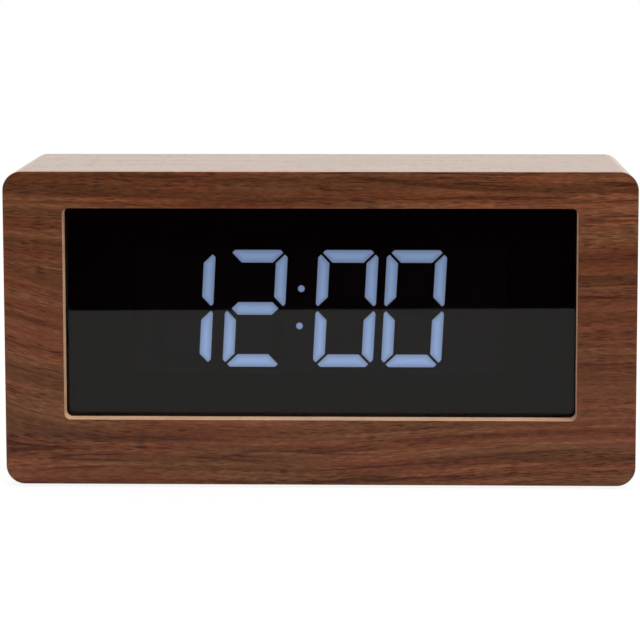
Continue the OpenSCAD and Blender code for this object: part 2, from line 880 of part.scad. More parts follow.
module slide_switch() {
    color("silver") difference() {
        along_y(y_main, y_switch) translate([slider_x, z_controls])
            square([switch_cavity_l + 2 * switch_wall, switch_cavity_w + 2 * switch_wall], center = true);
        along_y(y_main + switch_wall, y_switch - switch_wall) translate([slider_x, z_controls])
            square([switch_cavity_l, switch_cavity_w], center = true);
        along_y(y_main + switch_wall, y_switch + over) translate([slider_x, z_controls])
            square([switch_slot_l, switch_slot_w], center = true);
    }
}

// Power inlet
module dc_jack() {
    color([0.1, 0.1, 0.1]) difference() {
        union() {
            along_y(y_main, y_jack_body) translate([jack_x, z_mid + jack_z])
                square(jack_w, center = true);
            along_y(y_jack_body, y_jack_nose) translate([jack_x, z_mid + jack_z])
                circle(d = jack_nose_d);
        }
        along_y(y_main + jack_floor, y_jack_nose + over) translate([jack_x, z_mid + jack_z])
            circle(d = jack_bore_d);
        along_y(y_main - over, y_main + jack_floor + over) translate([jack_x, z_mid + jack_z])
            circle(d = jack_pin_d + 2 * pilot_room);
    }
}

module dc_jack_pin() {
    tip = jack_pin_d / 4;
    color("silver") turned(jack_x, z_mid + jack_z) rotate_extrude() polygon([
        [0, y_main], [jack_pin_d / 2, y_main],
        [jack_pin_d / 2, y_jack_nose - jack_pin_setback - tip],
        [jack_pin_d / 2 - tip, y_jack_nose - jack_pin_setback],
        [0, y_jack_nose - jack_pin_setback]
    ]);
}

// Backup cell
module cell_holder() {
    color([0.12, 0.12, 0.12]) turned(cell_x, z_mid + cell_z) difference() {
        translate([0, 0, y_main]) cylinder(r = holder_r, h = holder_h);
        translate([0, 0, y_main + holder_floor]) cylinder(r = holder_bore_r, h = holder_h);
        // Openings for the side contact and for the strip under the cell
        translate([cell_r, -contact_w / 2 - cell_room, y_main - over])
            cube([holder_r, contact_w + 2 * cell_room, holder_h + 2 * over]);
        translate([-2 * holder_r, -contact_w / 2 - cell_room, y_main + holder_floor])
            cube([2 * holder_r, contact_w + 2 * cell_room, contact_t + cell_room]);
    }
}

module cell_contacts() {
    color("gold") turned(cell_x, z_mid + cell_z) {
        translate([cell_r, -contact_w / 2, y_main])
            cube([contact_t, contact_w, y_cell_top - y_main - cell_t / 4]);
        translate([-holder_r - 2 * contact_t, -contact_w / 2, y_main + holder_floor])
            cube([holder_r + cell_r / 2, contact_w, contact_t]);
        translate([-holder_r - 2 * contact_t, -contact_w / 2, y_main])
            cube([contact_t, contact_w, holder_floor + contact_t]);
    }
}

module coin_cell() {
    rim = cell_t / 6;
    color("silver") turned(cell_x, z_mid + cell_z) rotate_extrude() polygon([
        [0, y_cell], [cell_r - 4 * rim, y_cell], [cell_r - 3 * rim, y_cell + rim],
        [cell_r - rim, y_cell + rim], [cell_r, y_cell + 2 * rim],
        [cell_r, y_cell_top - rim / 2], [cell_r - rim / 2, y_cell_top], [0, y_cell_top]
    ]);
}

module cell_cap() {
    color([0.2, 0.2, 0.2]) turned(cell_x, z_mid + cell_z) difference() {
        union() {
            translate([0, 0, y_disc]) cylinder(r = disc_r, h = cap_t);
            difference() {
                translate([0, 0, y_lug]) cylinder(r = sleeve_r, h = y_disc - y_lug);
                translate([0, 0, y_lug - over]) cylinder(r = sleeve_inner_r, h = y_disc - y_lug + over);
            }
            translate([0, 0, y_cell_top + cap_room / 2])
                cylinder(d = cap_pad_d, h = y_disc - y_cell_top - cap_room / 2);
            for (a = [0, 180])
                ring_part(sleeve_inner_r, lug_r, y_lug, y_lug_top, a - lug_angle / 2, a + lug_angle / 2);
        }
        translate([0, 0, y_cover]) cube([coin_slot_l, coin_slot_w, 2 * coin_slot_d], center = true);
    }
}

// Back
module cover_edge_ribs() {
    long = inner_w - 2 * block_w - 2 * rib_room;
    tall = inner_h - 2 * block_w - 2 * rib_room;
    for (s = both) {
        translate([0, s * (inner_h / 2 - rib_room - rib_t / 2)]) square([long, rib_t], center = true);
        translate([s * (inner_w / 2 - rib_room - rib_t / 2), 0]) square([rib_t, tall], center = true);
    }
}

// Mouth for the bayonet cap: disc seat, throat, turning room under the lip and ways in for the lugs
module cell_mouth() {
    translate([0, 0, y_lip]) cylinder(r = disc_r + cap_room, h = cap_t + over);
    translate([0, 0, y_collar - over]) cylinder(r = throat_r, h = y_cover - y_collar + over);
    for (a = [0, 180]) {
        start = a - lug_angle / 2 - lug_spare;
        stop = a + cap_turn + lug_angle / 2 + lug_spare;
        ring_part(sleeve_r, mouth_r, y_collar - over, y_lip_in, start, stop + lug_spare);
        ring_part(sleeve_r, mouth_r - cap_room / 4, y_lug, y_disc, start + cap_turn, stop);
    }
}

module back_cover() {
    color([0.1, 0.1, 0.1]) difference() {
        union() {
            along_y(y_cover_in, y_cover) translate([0, z_mid]) rounded(
                inner_w + 2 * rebate_w - 2 * cover_room,
                inner_h + 2 * rebate_w - 2 * cover_room,
                rebate_r - cover_room
            );
            along_y(y_cover_in - rib_h, y_cover_in) translate([0, z_mid]) cover_edge_ribs();
            along_y(y_main, y_cover_in) translate([0, z_mid])
                at_corners(main_screw_x, main_screw_z) circle(d = main_boss_d);
            turned(cell_x, z_mid + cell_z) translate([0, 0, y_collar])
                cylinder(r = collar_r, h = y_cover - y_collar);
        }
        along_y(y_cover_in - over, y_cover + over) translate([0, z_mid])
            at_corners(block_x, block_z) circle(d = cover_screw_d + 2 * screw_room);
        along_y(y_cover_in + cover_seat, y_cover + over) translate([0, z_mid])
            at_corners(block_x, block_z) circle(d = head_d(cover_screw_d) + 2 * head_room);
        along_y(y_main - over, y_main + board_bite + pilot_spare) translate([0, z_mid])
            at_corners(main_screw_x, main_screw_z) circle(d = board_screw_d + 2 * pilot_room);
        along_y(y_cover_in - over, y_cover + over) {
            for (i = [0 : 3]) translate([button_x(i), z_controls])
                pill(button_l + 2 * button_room, button_w + 2 * button_room);
            translate([slider_x, z_controls]) square([slider_slot_l, slider_slot_w], center = true);
            translate([jack_x, z_mid + jack_z]) circle(d = jack_nose_d + 2 * jack_room);
            for (i = [0 : slot_count - 1])
                translate([0, sounder_z + (i - (slot_count - 1) / 2) * slot_pitch]) pill(slot_l, slot_w);
        }
        turned(cell_x, z_mid + cell_z) cell_mouth();
    }
}

module cover_screws() {
    color("silver") for (sx = both, sz = both)
        translate([sx * block_x, y_cover_in + cover_seat, z_mid + sz * block_z])
            screw(cover_screw_d, cover_seat + cover_bite);
}

// Pill with a bevelled top between two depths
module button_body(y0, y1) {
    y_bevel = y1 - button_bevel;
    straight = button_l - button_w;
    along_y(y0, y_bevel) pill(button_l, button_w);
    for (s = both) turned(s * straight / 2, 0) translate([0, 0, y_bevel])
        cylinder(d1 = button_w, d2 = button_w - 2 * button_bevel, h = button_bevel);
    rotate([90, 0, 90]) linear_extrude(straight, center = true) polygon([
        [y_bevel, -button_w / 2], [y_bevel, button_w / 2],
        [y1, button_w / 2 - button_bevel], [y1, button_bevel - button_w / 2]
    ]);
}

module button(i) {
    color([0.25, 0.25, 0.25]) translate([button_x(i), 0, z_controls]) {
        button_body(y_flange, y_cover + button_proud);
        along_y(y_flange - flange_t, y_flange) pill(button_l + 2 * flange_w, button_w + 2 * flange_w);
        along_y(y_stem, y_flange - flange_t) circle(d = stem_d);
    }
}

module stem(i) {
    color("dimgray") along_y(y_stem - stem_out - stem_in, y_stem)
        translate([button_x(i), z_controls]) circle(d = stem_d);
}

module set_button() {
    button(0);
}

module set_stem() {
    stem(0);
}

module alarm_button() {
    button(1);
}

module alarm_stem() {
    stem(1);
}

module plus_button() {
    button(2);
}

module plus_stem() {
    stem(2);
}

module minus_button() {
    button(3);
}

module minus_stem() {
    stem(3);
}

// At rest the slider is at the left end of its slot
module alarm_slider() {
    y_thumb = y_cover_in - thumb_room;
    y_thumb_top = y_cover + thumb_proud;
    color([0.3, 0.3, 0.3]) translate([slider_x - slider_travel / 2, 0, z_controls]) difference() {
        union() {
            along_y(y_slider_foot, y_slider_foot + slider_foot_t)
                square([neck_l + 2 * slider_foot_w, neck_w + 2 * slider_foot_w], center = true);
            along_y(y_slider_foot, y_thumb) square([neck_l, neck_w], center = true);
            along_y(y_thumb, y_thumb_top) square([thumb_l, thumb_w], center = true);
        }
        for (i = [-1 : 1]) along_y(y_thumb_top - groove_d, y_thumb_top + over)
            translate([i * groove_pitch, 0]) square([groove_w, thumb_w + over], center = true);
    }
}

case_shell();
front_board();
case_veneer();
front_veneer();
corner_blocks();
feet();
display_lens();
lens_tape();
display_carrier();
carrier_screws();
display_housing();
hours_tens_bars();
hours_units_bars();
colon_dots();
minutes_tens_bars();
minutes_units_bars();
display_board();
display_leds();
display_board_screws();
driver_chip();
display_header();
ribbon_cable();
main_header();
main_board();
main_board_screws();
controller_chip();
crystal();
capacitors();
sounder();
tact_switches();
slide_switch();
dc_jack();
dc_jack_pin();
cell_holder();
cell_contacts();
coin_cell();
cell_cap();
back_cover();
cover_screws();
set_button();
set_stem();
alarm_button();
alarm_stem();
plus_button();
plus_stem();
minus_button();
minus_stem();
alarm_slider();
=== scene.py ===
# %% [markdown]
# # A table clock in a walnut box
# The clock is a veneered fibreboard box. A smoked window is let into its front, a lit four-digit display
# stands behind the window, and the controls are on the back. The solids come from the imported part, which
# is loaded as a fixed frame: nothing in it is moved or reshaped here. What Blender adds is what a solid
# can't show: the grain, the raw edge of the board, the gloss of the window and the light of the digits.

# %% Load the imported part
import json
from math import atan2, pi, radians, tan

import bmesh
import bpy
from mathutils import Matrix, Vector


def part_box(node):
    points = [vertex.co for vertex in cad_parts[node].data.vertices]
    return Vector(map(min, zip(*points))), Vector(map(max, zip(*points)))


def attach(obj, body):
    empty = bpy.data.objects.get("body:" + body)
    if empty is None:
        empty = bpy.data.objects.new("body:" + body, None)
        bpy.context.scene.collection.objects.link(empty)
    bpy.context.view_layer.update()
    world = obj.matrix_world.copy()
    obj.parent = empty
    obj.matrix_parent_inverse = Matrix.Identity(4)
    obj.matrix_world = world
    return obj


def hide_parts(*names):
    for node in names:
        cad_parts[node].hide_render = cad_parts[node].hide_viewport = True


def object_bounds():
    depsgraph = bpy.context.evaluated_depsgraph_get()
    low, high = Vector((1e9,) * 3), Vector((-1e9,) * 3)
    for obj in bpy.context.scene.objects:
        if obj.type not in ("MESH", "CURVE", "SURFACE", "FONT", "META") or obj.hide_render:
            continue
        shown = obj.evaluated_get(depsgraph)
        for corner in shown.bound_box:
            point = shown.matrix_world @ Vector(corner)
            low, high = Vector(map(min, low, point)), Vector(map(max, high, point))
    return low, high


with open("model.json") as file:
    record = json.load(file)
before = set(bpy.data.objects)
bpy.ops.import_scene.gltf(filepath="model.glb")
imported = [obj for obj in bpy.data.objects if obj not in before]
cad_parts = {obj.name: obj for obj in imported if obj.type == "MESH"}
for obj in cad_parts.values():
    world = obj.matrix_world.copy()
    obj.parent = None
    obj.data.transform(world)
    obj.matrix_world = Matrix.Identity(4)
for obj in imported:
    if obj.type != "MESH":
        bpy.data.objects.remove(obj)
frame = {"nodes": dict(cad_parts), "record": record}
cad_low, cad_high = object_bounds()
nodes = frame["nodes"]
scene = bpy.context.scene
MM = 0.001
print("loaded", len(nodes), "nodes, box in mm", [round(side / MM, 1) for side in cad_high - cad_low])

# %% [markdown]
# ## Camera
# The picture is a catalogue view: almost square on, from a little above and a little to the right, with a
# long lens. Such pictures are taken with the lens shifted down, so that the uprights of a box stay nearly
# parallel. A camera that only tilts would make the box taper, and one that only shifts would push it out
# of the frame in other views, so this one does some of each.

# %% Camera
CAMERA_PLACE = (0.0236, -0.8363, 0.1759)
camera_settings = bpy.data.cameras.new("camera")
camera_settings.lens = 144.83
camera_settings.sensor_width = 36
camera_settings.shift_y = -0.15
camera = bpy.data.objects.new("camera", camera_settings)
scene.collection.objects.link(camera)
scene.camera = camera
look_left, look_down, roll = radians(1.67), radians(6.482), radians(-0.097)
aim = (
    Matrix.Rotation(look_left, 4, "Z")
    @ Matrix.Rotation(pi / 2 - look_down, 4, "X")
    @ Matrix.Rotation(roll, 4, "Z")
)
camera.matrix_world = Matrix.Translation(CAMERA_PLACE) @ aim
print("camera at", [round(x, 3) for x in camera.location], "lens", camera_settings.lens)

# %% [markdown]
# ## Writing materials as sums
# A material is a small program, and it reads best as arithmetic. `Wire` stands for the output of a node
# and knows the usual operators, so `1 - mask` adds a Math node by itself. `Finish` holds one node tree
# and has one method that makes any other node: its type, its settings and the values of its sockets.

# %% Wire and Finish
class Wire:
    """The output of a node, ready for arithmetic."""

    def __init__(self, finish, socket):
        self.finish = finish
        self.socket = socket

    def math(self, operation, *values):
        return self.finish.node("Math", {"operation": operation}, dict(enumerate(values)))

    def other(self, name):
        """Another output of the same node."""
        return Wire(self.finish, self.socket.node.outputs[name])

    def __add__(self, value):
        return self.math("ADD", self, value)

    def __radd__(self, value):
        return self.math("ADD", value, self)

    def __sub__(self, value):
        return self.math("SUBTRACT", self, value)

    def __rsub__(self, value):
        return self.math("SUBTRACT", value, self)

    def __mul__(self, value):
        return self.math("MULTIPLY", self, value)

    def __rmul__(self, value):
        return self.math("MULTIPLY", value, self)

    def __pow__(self, value):
        return self.math("POWER", self, value)


class Finish:
    """A material that is being put together, or the world if its tree is given."""

    def __init__(self, name, tree=None):
        if tree is None:
            self.material = bpy.data.materials.new(name)
            self.material.use_nodes = True
            tree = self.material.node_tree
        self.tree = tree
        self.tree.nodes.clear()

    def node(self, kind, settings=None, sockets=None, output=0):
        made = self.tree.nodes.new("ShaderNode" + kind)
        for name, value in (settings or {}).items():
            if name == "stops":
                marks = made.color_ramp.elements
                while len(marks) < len(value):
                    marks.new(1.0)
                for mark, (position, colour) in zip(marks, value):
                    mark.position, mark.color = position, colour
            else:
                setattr(made, name, value)
        for key, value in (sockets or {}).items():
            if isinstance(value, Wire):
                self.tree.links.new(value.socket, made.inputs[key])
            else:
                made.inputs[key].default_value = value
        return Wire(self, made.outputs[output]) if made.outputs else None

    def ramp(self, value, stops):
        return self.node("ValToRGB", {"stops": stops}, {"Fac": value})

    def blend(self, share, first, second):
        """Two colours mixed. The numbers are the colour sockets of the Mix node."""
        return self.node("Mix", {"data_type": "RGBA"}, {0: share, 6: first, 7: second}, output=2)

    def step(self, value, start, stop):
        """0 below start, 1 above stop, and a smooth rise between them."""
        edges = {"Value": value, "From Min": start, "From Max": stop}
        return self.node("MapRange", {"interpolation_type": "SMOOTHSTEP"}, edges)

    def noise(self, vector, detail=2.0, roughness=0.5, scale=1.0):
        sockets = {"Vector": vector, "Scale": scale, "Detail": detail, "Roughness": roughness}
        return self.node("TexNoise", {}, sockets)

    def bump(self, height, distance):
        return self.node("Bump", {}, {"Height": height, "Distance": distance, "Strength": 1.0})

    def surface(self, sockets):
        """The finished surface, from the sockets of one Principled shader."""
        shader = self.node("BsdfPrincipled", {}, sockets)
        self.node("OutputMaterial", {}, {"Surface": shader})


def srgb(red, green, blue):
    """A colour as it is read off a screen, 0 to 255, made linear."""
    parts = [x / 255 for x in (red, green, blue)]
    return (*[x / 12.92 if x <= 0.04045 else ((x + 0.055) / 1.055) ** 2.4 for x in parts], 1.0)


print("one mid brown is", [round(x, 3) for x in srgb(98, 58, 37)])

# %% [markdown]
# ## Table and black card
# The clock stands on a white table in a white studio. The window is a mirror for what lies in front of it:
# its lower half shows the table, and a sharp level line shows where the table ends. Past that edge there
# has to be something dark, or the digits would drown in reflections, and photographers put a black card
# there. The table's front edge is placed so that its mirror image falls on the line in the picture.
#
# Stronger lamps could make the table white, but they would bleach the walnut too. So the white belongs to
# the table as the camera and the mirror see it. The mirror sees it plain. The camera sees a tenth of the
# table's own shading near the clock, so the clock still has its shadow.

# %% Table
TABLE_EDGE = -0.408
TABLE_TURN = radians(-2.74)
TABLE_SIZE = 6.0
NEAR_CLOCK, FAR_OFF = 0.25, 0.8
WHITE_NEAR_CLOCK = 0.9


def stage_plane(name, matrix, finish):
    """A square of side 1, placed by a matrix, that isn't part of the clock."""
    bm = bmesh.new()
    bmesh.ops.create_grid(bm, x_segments=1, y_segments=1, size=0.5, matrix=matrix)
    mesh = bpy.data.meshes.new(name)
    bm.to_mesh(mesh)
    bm.free()
    made = bpy.data.objects.new(name, mesh)
    scene.collection.objects.link(made)
    mesh.materials.append(finish.material)
    return made


def seen_directly(finish, by_camera=1.0):
    """1 for rays from a mirror or a lens, by_camera for those from the camera, and 0 for bounced light."""
    path = finish.node("LightPath")
    return path * by_camera + path.other("Is Glossy Ray") + path.other("Is Transmission Ray")


table_white = Finish("table_white")
cloudy = table_white.noise(table_white.node("TexCoord", output="Object"), scale=9.0)
plain = table_white.node("BsdfDiffuse", {}, {"Color": table_white.ramp(cloudy, [
    (0.3, (0.86, 0.86, 0.86, 1)), (0.7, (0.9, 0.9, 0.9, 1))])})
glow = table_white.node("Emission", {}, {"Color": (1, 1, 1, 1), "Strength": 1.0})
away = table_white.node("VectorMath", {"operation": "LENGTH"}, {
    0: table_white.node("TexCoord", output="Object")}, output="Value")
white = WHITE_NEAR_CLOCK + (1 - WHITE_NEAR_CLOCK) * table_white.step(away, NEAR_CLOCK, FAR_OFF)
share = seen_directly(table_white, white)
table_white.node("OutputMaterial", {}, {
    "Surface": table_white.node("MixShader", {}, {0: share, 1: plain, 2: glow})})
stage_plane("table", (
    Matrix.Translation((0, TABLE_EDGE, 0))
    @ Matrix.Rotation(TABLE_TURN, 4, "Z")
    @ Matrix.Translation((0, TABLE_SIZE / 2, 0))
    @ Matrix.Scale(TABLE_SIZE, 4)
), table_white)
print("table edge at", TABLE_EDGE)

# %% Black card behind the camera
CARD_PLACE = (0, -1.3, 0.5)
CARD_WIDTH, CARD_HEIGHT = 4.0, 2.2
card_black = Finish("card_black")
card_black.surface({"Base Color": card_black.ramp(
    card_black.noise(card_black.node("TexCoord", output="Object"), scale=40.0),
    [(0.3, (0.032, 0.005, 0.012, 1)), (0.7, (0.040, 0.008, 0.016, 1))]),
    "Roughness": 1.0, "Specular IOR Level": 0.0})
card = stage_plane("black_card", (
    Matrix.Translation(CARD_PLACE)
    @ Matrix.Rotation(-pi / 2, 4, "X")
    @ Matrix.Diagonal((CARD_WIDTH, CARD_HEIGHT, 1, 1))
), card_black)
card.visible_camera = card.visible_diffuse = card.visible_shadow = False
print("black card", CARD_WIDTH, "by", CARD_HEIGHT, "m")

# %% [markdown]
# ## World and lamps
# A box like this is lit with large soft lamps, so that no hard shadow crosses its front. One soft box hangs
# high in front and a little to the right, and one hangs high behind, for the top and the controls on the
# back. The world adds a weaker, even light, and it is white where the camera or the mirror sees it. One
# lamp beside the camera would be simpler, but its image would stand in the window.

# %% World and lamps
SKY = 0.6
world = bpy.data.worlds.new("studio")
scene.world = world
world.use_nodes = True
studio = Finish("studio", world.node_tree)
level = SKY + (1 - SKY) * seen_directly(studio)
sky = studio.node("Background", {}, {"Color": (1, 1, 1, 1), "Strength": level})
studio.node("OutputWorld", {}, {"Surface": sky})

target = (cad_low + cad_high) / 2


def soft_box(name, size, watts, place):
    """A square lamp that faces the middle of the clock."""
    settings = bpy.data.lights.new(name, "AREA")
    settings.size = size
    settings.energy = watts
    lamp = bpy.data.objects.new(name, settings)
    scene.collection.objects.link(lamp)
    place = Vector(place)
    facing = (target - place).to_track_quat("-Z", "Y").to_matrix().to_4x4()
    lamp.matrix_world = Matrix.Translation(place) @ facing
    print(name, watts, "W at", [round(x, 2) for x in place])


soft_box("front_box", 1.2, 24.5, (0.45, -0.6, 1.5))
soft_box("rear_box", 1.0, 18, (-0.2, 0.7, 1.4))
scene.view_settings.view_transform = "Standard"
print("sky", SKY)

# %% [markdown]
# ## Walnut
# The box is covered with walnut veneer: brown with a red cast, long streaks that sway along the board,
# darker lines where the growth slows, and short open pores. A photograph of wood would do for one face
# only, so the grain is grown from noise that is stretched a long way along the sheet. The sheet's own
# measure, along and across in metres, is kept in a UV map named grain, so the same finish can lie flat on
# the front and bend round the corners of the sleeve.
#
# All layers of the grain follow one level line, which falls from the left end of the front, rises at its
# lower right and sways a little everywhere. The layers go from broad to fine: drift and bands, streaks,
# broken dark lines, pores in clusters, and hair-thin fibres.

# %% Level line of the grain
walnut = Finish("walnut_veneer")
along = walnut.node("SeparateXYZ", {}, {0: walnut.node("UVMap", {"uv_map": "grain"})})
across = along.other("Y")


def stretched(finish, u, v, along_m, across_m, seed, detail=2.0, roughness=0.5):
    """Noise with features about 1 / along_m metres long and 1 / across_m metres wide."""
    place = finish.node("CombineXYZ", {}, {0: u * along_m, 1: v * across_m, 2: seed})
    return finish.noise(place, detail, roughness)


LEFT_END, DIP_LENGTH = -100 * MM, 1 / 36
DIP, RISE, SWAY, RIPPLE = 9.5 * MM, 4.5 * MM, 7 * MM, 0.7 * MM
fade = (along - LEFT_END) * (-1 / DIP_LENGTH)
dip = fade.math("EXPONENT", fade) * DIP
dip = dip * walnut.step(across, 0.097, 0.066) * walnut.step(across, 0.005, 0.03)
rise = walnut.step(along, -0.01, 0.1) * walnut.step(across, 0.06, 0.02) * RISE
sway = (stretched(walnut, along, across, 8, 20, 3.1, detail=1.0) - 0.5) * SWAY
ripple = (stretched(walnut, along, across, 55, 140, 7.7, detail=1.0) - 0.5) * RIPPLE
level_line = across - dip - rise + sway + ripple
print("the grain dips by", round(DIP / MM, 1), "and rises by", round(RISE / MM, 1), "mm")

# %% Layers of the grain
drift = stretched(walnut, along, level_line, 5, 45, 11.3, detail=0.0) - 0.5
bands = stretched(walnut, along, level_line, 5, 120, 13.1, detail=0.0) - 0.5
streaks = stretched(walnut, along, level_line, 8, 330, 17.9, detail=2.0, roughness=0.6) - 0.5
hairs = stretched(walnut, along, level_line, 420, 2200, 23.5, detail=1.0) - 0.5
contour = stretched(walnut, along, level_line, 8, 260, 29.0, detail=1.0) - 0.5
broken = walnut.step(stretched(walnut, along, level_line, 30, 300, 19.0), 0.42, 0.58)
lines = (1 - walnut.step(contour.math("ABSOLUTE", contour), 0.006, 0.024)) * broken
clusters = walnut.step(stretched(walnut, along, level_line, 20, 150, 37.0), 0.36, 0.6)
dashes = stretched(walnut, along, level_line, 220, 2600, 31.0, detail=0.0)
pores = walnut.step(dashes, 0.58, 0.68) * clusters
print("grain so far:", len(walnut.tree.nodes), "nodes")

# %% [markdown]
# ## Figure of the front
# No two sheets of veneer are alike, and the eye knows a sheet by a few marks. Noise alone never puts them
# in the right place, and painting the sheet would fix every fibre by hand. So only the marks are placed:
# two pale and two dark streaks, and broad zones that are a little paler or darker than the rest. Each is a
# soft band at a height over the table, for a stretch along the sheet. The noise runs on through them.

# %% Streaks and zones of the front sheet
STREAK_FADE = 12 * MM


def figure(level, half_width, start, stop):
    """A single streak of the front sheet: 1 at a height, for a stretch along the sheet, and 0 elsewhere."""
    off = across + ripple - level
    near = 1 - walnut.step(off.math("ABSOLUTE", off), half_width * 0.2, half_width)
    begun = walnut.step(along, start - STREAK_FADE, start + STREAK_FADE)
    not_ended = walnut.step(along, stop + STREAK_FADE, stop - STREAK_FADE)
    return near * begun * not_ended


pale_top = figure(0.0904 - along * 0.026, 0.0014, -0.12, -0.04)
pale_foot = figure(0.0143, 0.0013, -0.075, 0.03)
dark_top = figure(0.0996 - walnut.step(along, 0.0, 0.06) * 0.0045, 0.0012, 0.01, 0.12)
dark_foot = figure(0.0037 + along * along * 0.64, 0.0020, 0.01, 0.12)
figured = (pale_top * 1.3 + pale_foot - dark_top - dark_foot * 0.5) * (0.9 + streaks)
ZONES = (  # height, half width, start and stop in metres, and how much paler
    (0.081, 0.012, -0.12, -0.079, -0.06),
    (0.043, 0.014, -0.12, -0.079, 0.05),
    (0.087, 0.006, 0.079, 0.12, 0.09),
    (0.060, 0.008, 0.079, 0.12, 0.09),
    (0.004, 0.008, -0.05, 0.12, 0.06),
    (0.003, 0.009, 0.02, 0.12, 0.06),
    (0.0185, 0.003, -0.055, 0.0, -0.08),
)
print("figure:", len(ZONES), "zones")

# %% [markdown]
# ## Brown of the walnut
# The layers and the figure add up to one tone, and the tone picks a brown. One ramp of browns would look
# printed, so there are two, a redder and a more olive one, and patches of noise choose between them. The
# top of the front and the sheet round the box are painted a little paler, as painted light from above, and
# the foot of the front is more streaked. The sheet round the box also has more lacquer. A warm sheen stands
# for the loose fibres that catch the light at a flat angle.

# %% Tone and brown
MIDDLE_TONE = 0.456
STOPS = (0.20, 0.42, 0.56, 0.82)
SLEEVE_START, SLEEVE_FULL = 0.2, 0.25
# Painted light: the tone is lifted towards the top of the front and over the whole sheet round the box.
painted_top_light = walnut.step(across, 0.07, 0.09) * 0.045
foot = walnut.step(across, 0.030, 0.018)
tone = MIDDLE_TONE + painted_top_light + drift * 0.20 + bands * 0.24 + streaks * (0.50 + foot * 0.20) + hairs * 0.40
tone = tone - lines * 0.22 - pores * 0.22 + figured * 0.16
for zone_level, zone_width, zone_start, zone_stop, paler in ZONES:
    tone = tone + figure(zone_level, zone_width, zone_start, zone_stop) * paler
red_browns = srgb(57, 20, 3), srgb(84, 42, 19), srgb(102, 55, 31), srgb(136, 84, 56)
olive_browns = srgb(54, 22, 4), srgb(80, 45, 22), srgb(97, 58, 34), srgb(129, 86, 58)
red_wood = walnut.ramp(tone, list(zip(STOPS, red_browns)))
olive_wood = walnut.ramp(tone, list(zip(STOPS, olive_browns)))
patches = stretched(walnut, along, level_line, 16, 170, 41.0) - (pale_top + pale_foot) * 0.15
cast = walnut.step(patches, 0.4, 0.6)
sleeve = walnut.step(across, SLEEVE_START, SLEEVE_FULL)
walnut.surface({
    "Base Color": walnut.blend(cast, red_wood, olive_wood),
    "Roughness": 0.30 - sleeve * 0.12 + hairs * 0.08 + pores * 0.15,
    "Coat Weight": sleeve * 0.2,
    "Coat Roughness": 0.1,
    "Coat IOR": 1.4,
    "IOR": 1.28,
    "Sheen Weight": 0.6,
    "Sheen Roughness": 0.3,
    "Sheen Tint": (1.0, 0.73, 0.51, 1.0),
    "Normal": walnut.bump(hairs * 0.4 + streaks * 0.3 - pores - lines * 0.5, 0.00002),
})
print("walnut:", len(walnut.tree.nodes), "nodes")

# %% [markdown]
# ## The two veneer sheets
# One sheet lies on the front and has the window cut out of it. The other is wrapped round the top, the
# sides and the bottom. Both are rings of a rounded rectangle, so both start as two outlines whose corners
# are bevelled round, are bridged to a ring and pushed back to the thickness. On the real box the outer edge
# of the front sheet is eased with fine sandpaper, which draws a thin light line along the top, so it gets a
# small bevel.

# %% Rings of a rounded rectangle
def outline(bm, low, high, radius, y, segments=24):
    """The edges of a rounded rectangle across x and z, on the plane y."""
    width, height = high[0] - low[0], high[1] - low[1]
    middle = Vector(((low[0] + high[0]) / 2, y, (low[1] + high[1]) / 2))
    place = (
        Matrix.Translation(middle)
        @ Matrix.Rotation(pi / 2, 4, "X")
        @ Matrix.Diagonal((width, height, 1, 1))
    )
    corners = bmesh.ops.create_grid(bm, x_segments=1, y_segments=1, size=0.5, matrix=place)["verts"]
    bmesh.ops.bevel(
        bm, geom=corners, offset=radius, affect="VERTICES", segments=segments, profile=0.5, material=-1)
    (face,) = bm.faces
    edges = list(face.edges)
    bmesh.ops.delete(bm, geom=[face], context="FACES_ONLY")
    return edges


def push_back(bm, depth):
    """Gives flat faces depth along y and turns all sides outward."""
    pushed = bmesh.ops.extrude_face_region(bm, geom=bm.faces[:])["geom"]
    back = [item for item in pushed if isinstance(item, bmesh.types.BMVert)]
    bmesh.ops.translate(bm, verts=back, vec=(0, depth, 0))
    bmesh.ops.recalc_face_normals(bm, faces=bm.faces)


def ring(bm, outer, inner, depth):
    """A closed ring between two outlines."""
    bmesh.ops.bridge_loops(bm, edges=outer + inner)
    push_back(bm, depth)


def ease(bm, edges, amount):
    """Rounds an edge over, as sandpaper does."""
    bmesh.ops.bevel(
        bm, geom=edges, offset=amount, affect="EDGES", segments=3, profile=0.5, material=-1)


print("outlines, rings and eased edges are ready")

# %% A finished piece
def piece(name, bm, body, finish, slot, *replaced):
    """A finished mesh as an object of the clock that moves with a body."""
    mesh = bpy.data.meshes.new(name)
    bm.to_mesh(mesh)
    bm.free()
    made = bpy.data.objects.new(name, mesh)
    scene.collection.objects.link(made)
    mesh.materials.append(finish.material)
    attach(made, body)
    if replaced:
        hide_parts(*replaced)
    print(name, "on", body, "with", len(mesh.polygons), "faces")


CORNER = 6 * MM
WINDOW_CORNER = 2 * MM
VENEER = 0.5 * MM
front_low, front_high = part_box("front_veneer")
sleeve_low, sleeve_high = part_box("case_veneer")
lens_low, lens_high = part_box("display_lens")
LENS_LIP = 4.4 * MM
window_low = (lens_low.x + LENS_LIP, lens_low.z + LENS_LIP)
window_high = (lens_high.x - LENS_LIP, lens_high.z - LENS_LIP)
print("window in mm", [round((b - a) / MM, 2) for a, b in zip(window_low, window_high)])

# %% Front sheet
RIM_EASE, HOLE_EASE = 0.3 * MM, 0.12 * MM
bm = bmesh.new()
rim = outline(bm, (front_low.x, front_low.z), (front_high.x, front_high.z), CORNER, front_low.y)
hole = outline(bm, window_low, window_high, WINDOW_CORNER, front_low.y)
ring(bm, rim, hole, VENEER)
ease(bm, rim, RIM_EASE)
ease(bm, hole, HOLE_EASE)
grain = bm.loops.layers.uv.new("grain")
for face in bm.faces:
    for corner in face.loops:
        corner[grain].uv = (corner.vert.co.x, corner.vert.co.z)
piece("front_sheet", bm, "case", walnut, "walnut_veneer", "front_veneer")

